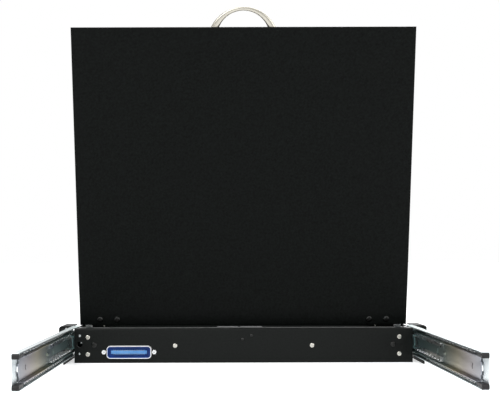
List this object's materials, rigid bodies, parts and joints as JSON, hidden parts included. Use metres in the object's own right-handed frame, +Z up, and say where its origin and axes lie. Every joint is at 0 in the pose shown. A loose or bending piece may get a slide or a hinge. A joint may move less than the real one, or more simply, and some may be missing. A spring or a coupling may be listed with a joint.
{
  "type": "rackmount lcd console drawer",
  "caption": "Black one-unit rack drawer on ball-bearing slides with a keyboard tray, a hinged screen lid with a pull handle, and a blue ribbon receptacle at the rear.",
  "frame": {"origin": "centre of the four rack slots, on the rear face of the ears, which seats on the rack's front posts", "axes": "+X to the user's right seen from the front, +Y towards the rear of the rack, +Z up"},
  "size_m": [0.4826, 0.7838, 0.4394],
  "materials": {
    "black_powder_coat": "fine textured black powder coat",
    "zinc_plate": "zinc plated steel with a faint iridescent passivation",
    "ball_steel": "polished bearing steel",
    "satin_nickel": "satin nickel plate",
    "black_plastic": "black moulded plastic",
    "key_plastic": "black keycap plastic, fine matt",
    "blue_plastic": "blue connector insulator",
    "contact_metal": "gold flashed contacts",
    "circuit_board": "green solder resist",
    "screen_glass": "clear protective glass",
    "screen_module": "screen module with a dark display face",
    "black_screws": "black oxide screws"
  },
  "bodies": {
    "rack": {"left_ear_bracket": "black_powder_coat", "right_ear_bracket": "black_powder_coat", "left_ear_hood": "black_powder_coat", "right_ear_hood": "black_powder_coat", "left_outer_rail": "zinc_plate", "right_outer_rail": "zinc_plate", "rail_bumpers": "black_plastic", "rail_rivets": "zinc_plate"},
    "intermediate_rails": {"left_intermediate_rail": "zinc_plate", "right_intermediate_rail": "zinc_plate"},
    "outer_cages": {"left_outer_cage": "zinc_plate", "right_outer_cage": "zinc_plate", "outer_cage_balls": "ball_steel"},
    "inner_cages": {"left_inner_cage": "zinc_plate", "right_inner_cage": "zinc_plate", "inner_cage_balls": "ball_steel"},
    "drawer": {"left_inner_rail": "zinc_plate", "right_inner_rail": "zinc_plate", "rail_screws": "zinc_plate", "tray_pan": "black_powder_coat", "rear_panel": "black_powder_coat", "connector_shell": "zinc_plate", "connector_insert": "blue_plastic", "connector_contacts": "contact_metal", "jackscrews": "zinc_plate", "interface_board": "circuit_board", "rear_screws": "zinc_plate", "rear_black_screws": "black_screws", "left_hinge_base": "zinc_plate", "right_hinge_base": "zinc_plate", "keyboard_deck": "black_powder_coat", "keyboard_base": "black_plastic", "keyboard_board": "circuit_board", "deck_screws": "black_screws", "touchpad": "black_plastic"},
    "lid": {"lid_shell": "black_powder_coat", "lid_bezel": "black_plastic", "screen_glass": "screen_glass", "lcd_panel": "screen_module", "lcd_brackets": "zinc_plate", "display_board": "circuit_board", "pull_handle": "satin_nickel", "handle_screws": "zinc_plate", "left_hinge_arm": "zinc_plate", "right_hinge_arm": "zinc_plate", "hinge_pins": "ball_steel", "lid_hinge_screws": "black_screws"},
    "function_keys": {"function_keys": "key_plastic"},
    "number_keys": {"number_keys": "key_plastic"},
    "upper_letter_keys": {"upper_letter_keys": "key_plastic"},
    "home_letter_keys": {"home_letter_keys": "key_plastic"},
    "lower_letter_keys": {"lower_letter_keys": "key_plastic"},
    "bottom_keys": {"bottom_keys": "key_plastic"},
    "space_bar": {"space_bar": "key_plastic"},
    "navigation_keys": {"navigation_keys": "key_plastic"},
    "arrow_keys": {"arrow_keys": "key_plastic"},
    "left_pad_button": {"left_pad_button": "key_plastic"},
    "right_pad_button": {"right_pad_button": "key_plastic"},
    "power_button": {"power_button": "key_plastic"},
    "menu_buttons": {"menu_buttons": "key_plastic"}
  },
  "joints": [
    {"name": "rail_extend", "type": "slide", "parent": "rack", "child": "intermediate_rails", "axis": [0, -1, 0], "range_m": [0, 0.2]},
    {"name": "outer_cage_roll", "type": "slide", "parent": "rack", "child": "outer_cages", "axis": [0, -1, 0], "range_m": [0, 0.1]},
    {"name": "drawer_slide", "type": "slide", "parent": "intermediate_rails", "child": "drawer", "axis": [0, 1, 0], "range_m": [0, 0.34]},
    {"name": "inner_cage_roll", "type": "slide", "parent": "intermediate_rails", "child": "inner_cages", "axis": [0, 1, 0], "range_m": [0, 0.17]},
    {"name": "lid_hinge", "type": "hinge", "parent": "drawer", "child": "lid", "pos_m": [0, 0.0193, 0.0178], "axis": [-1, 0, 0], "range_deg": [-102.4, 8]},
    {"name": "function_key_press", "type": "slide", "parent": "drawer", "child": "function_keys", "axis": [0, 0, -1], "range_m": [0, 0.0022], "stiffness_N_per_m": 400, "springref_m": -0.002},
    {"name": "number_key_press", "type": "slide", "parent": "drawer", "child": "number_keys", "axis": [0, 0, -1], "range_m": [0, 0.0022], "stiffness_N_per_m": 400, "springref_m": -0.002},
    {"name": "upper_letter_key_press", "type": "slide", "parent": "drawer", "child": "upper_letter_keys", "axis": [0, 0, -1], "range_m": [0, 0.0022], "stiffness_N_per_m": 400, "springref_m": -0.002},
    {"name": "home_letter_key_press", "type": "slide", "parent": "drawer", "child": "home_letter_keys", "axis": [0, 0, -1], "range_m": [0, 0.0022], "stiffness_N_per_m": 400, "springref_m": -0.002},
    {"name": "lower_letter_key_press", "type": "slide", "parent": "drawer", "child": "lower_letter_keys", "axis": [0, 0, -1], "range_m": [0, 0.0022], "stiffness_N_per_m": 400, "springref_m": -0.002},
    {"name": "bottom_key_press", "type": "slide", "parent": "drawer", "child": "bottom_keys", "axis": [0, 0, -1], "range_m": [0, 0.0022], "stiffness_N_per_m": 400, "springref_m": -0.002},
    {"name": "space_bar_press", "type": "slide", "parent": "drawer", "child": "space_bar", "axis": [0, 0, -1], "range_m": [0, 0.0022], "stiffness_N_per_m": 400, "springref_m": -0.002},
    {"name": "navigation_key_press", "type": "slide", "parent": "drawer", "child": "navigation_keys", "axis": [0, 0, -1], "range_m": [0, 0.0022], "stiffness_N_per_m": 400, "springref_m": -0.002},
    {"name": "arrow_key_press", "type": "slide", "parent": "drawer", "child": "arrow_keys", "axis": [0, 0, -1], "range_m": [0, 0.0022], "stiffness_N_per_m": 400, "springref_m": -0.002},
    {"name": "left_pad_button_press", "type": "slide", "parent": "drawer", "child": "left_pad_button", "axis": [0, 0, -1], "range_m": [0, 0.0008], "stiffness_N_per_m": 800, "springref_m": -0.001},
    {"name": "right_pad_button_press", "type": "slide", "parent": "drawer", "child": "right_pad_button", "axis": [0, 0, -1], "range_m": [0, 0.0008], "stiffness_N_per_m": 800, "springref_m": -0.001},
    {"name": "power_button_press", "type": "slide", "parent": "lid", "child": "power_button", "axis": [0, 0.9767, -0.2147], "range_m": [0, 0.0008], "stiffness_N_per_m": 800, "springref_m": -0.001},
    {"name": "menu_buttons_press", "type": "slide", "parent": "lid", "child": "menu_buttons", "axis": [0, 0.9767, -0.2147], "range_m": [0, 0.0008], "stiffness_N_per_m": 800, "springref_m": -0.001}
  ],
  "couplings": [
    {"joint": "outer_cage_roll", "follows": "rail_extend", "ratio": 0.5},
    {"joint": "inner_cage_roll", "follows": "drawer_slide", "ratio": 0.5}
  ]
}
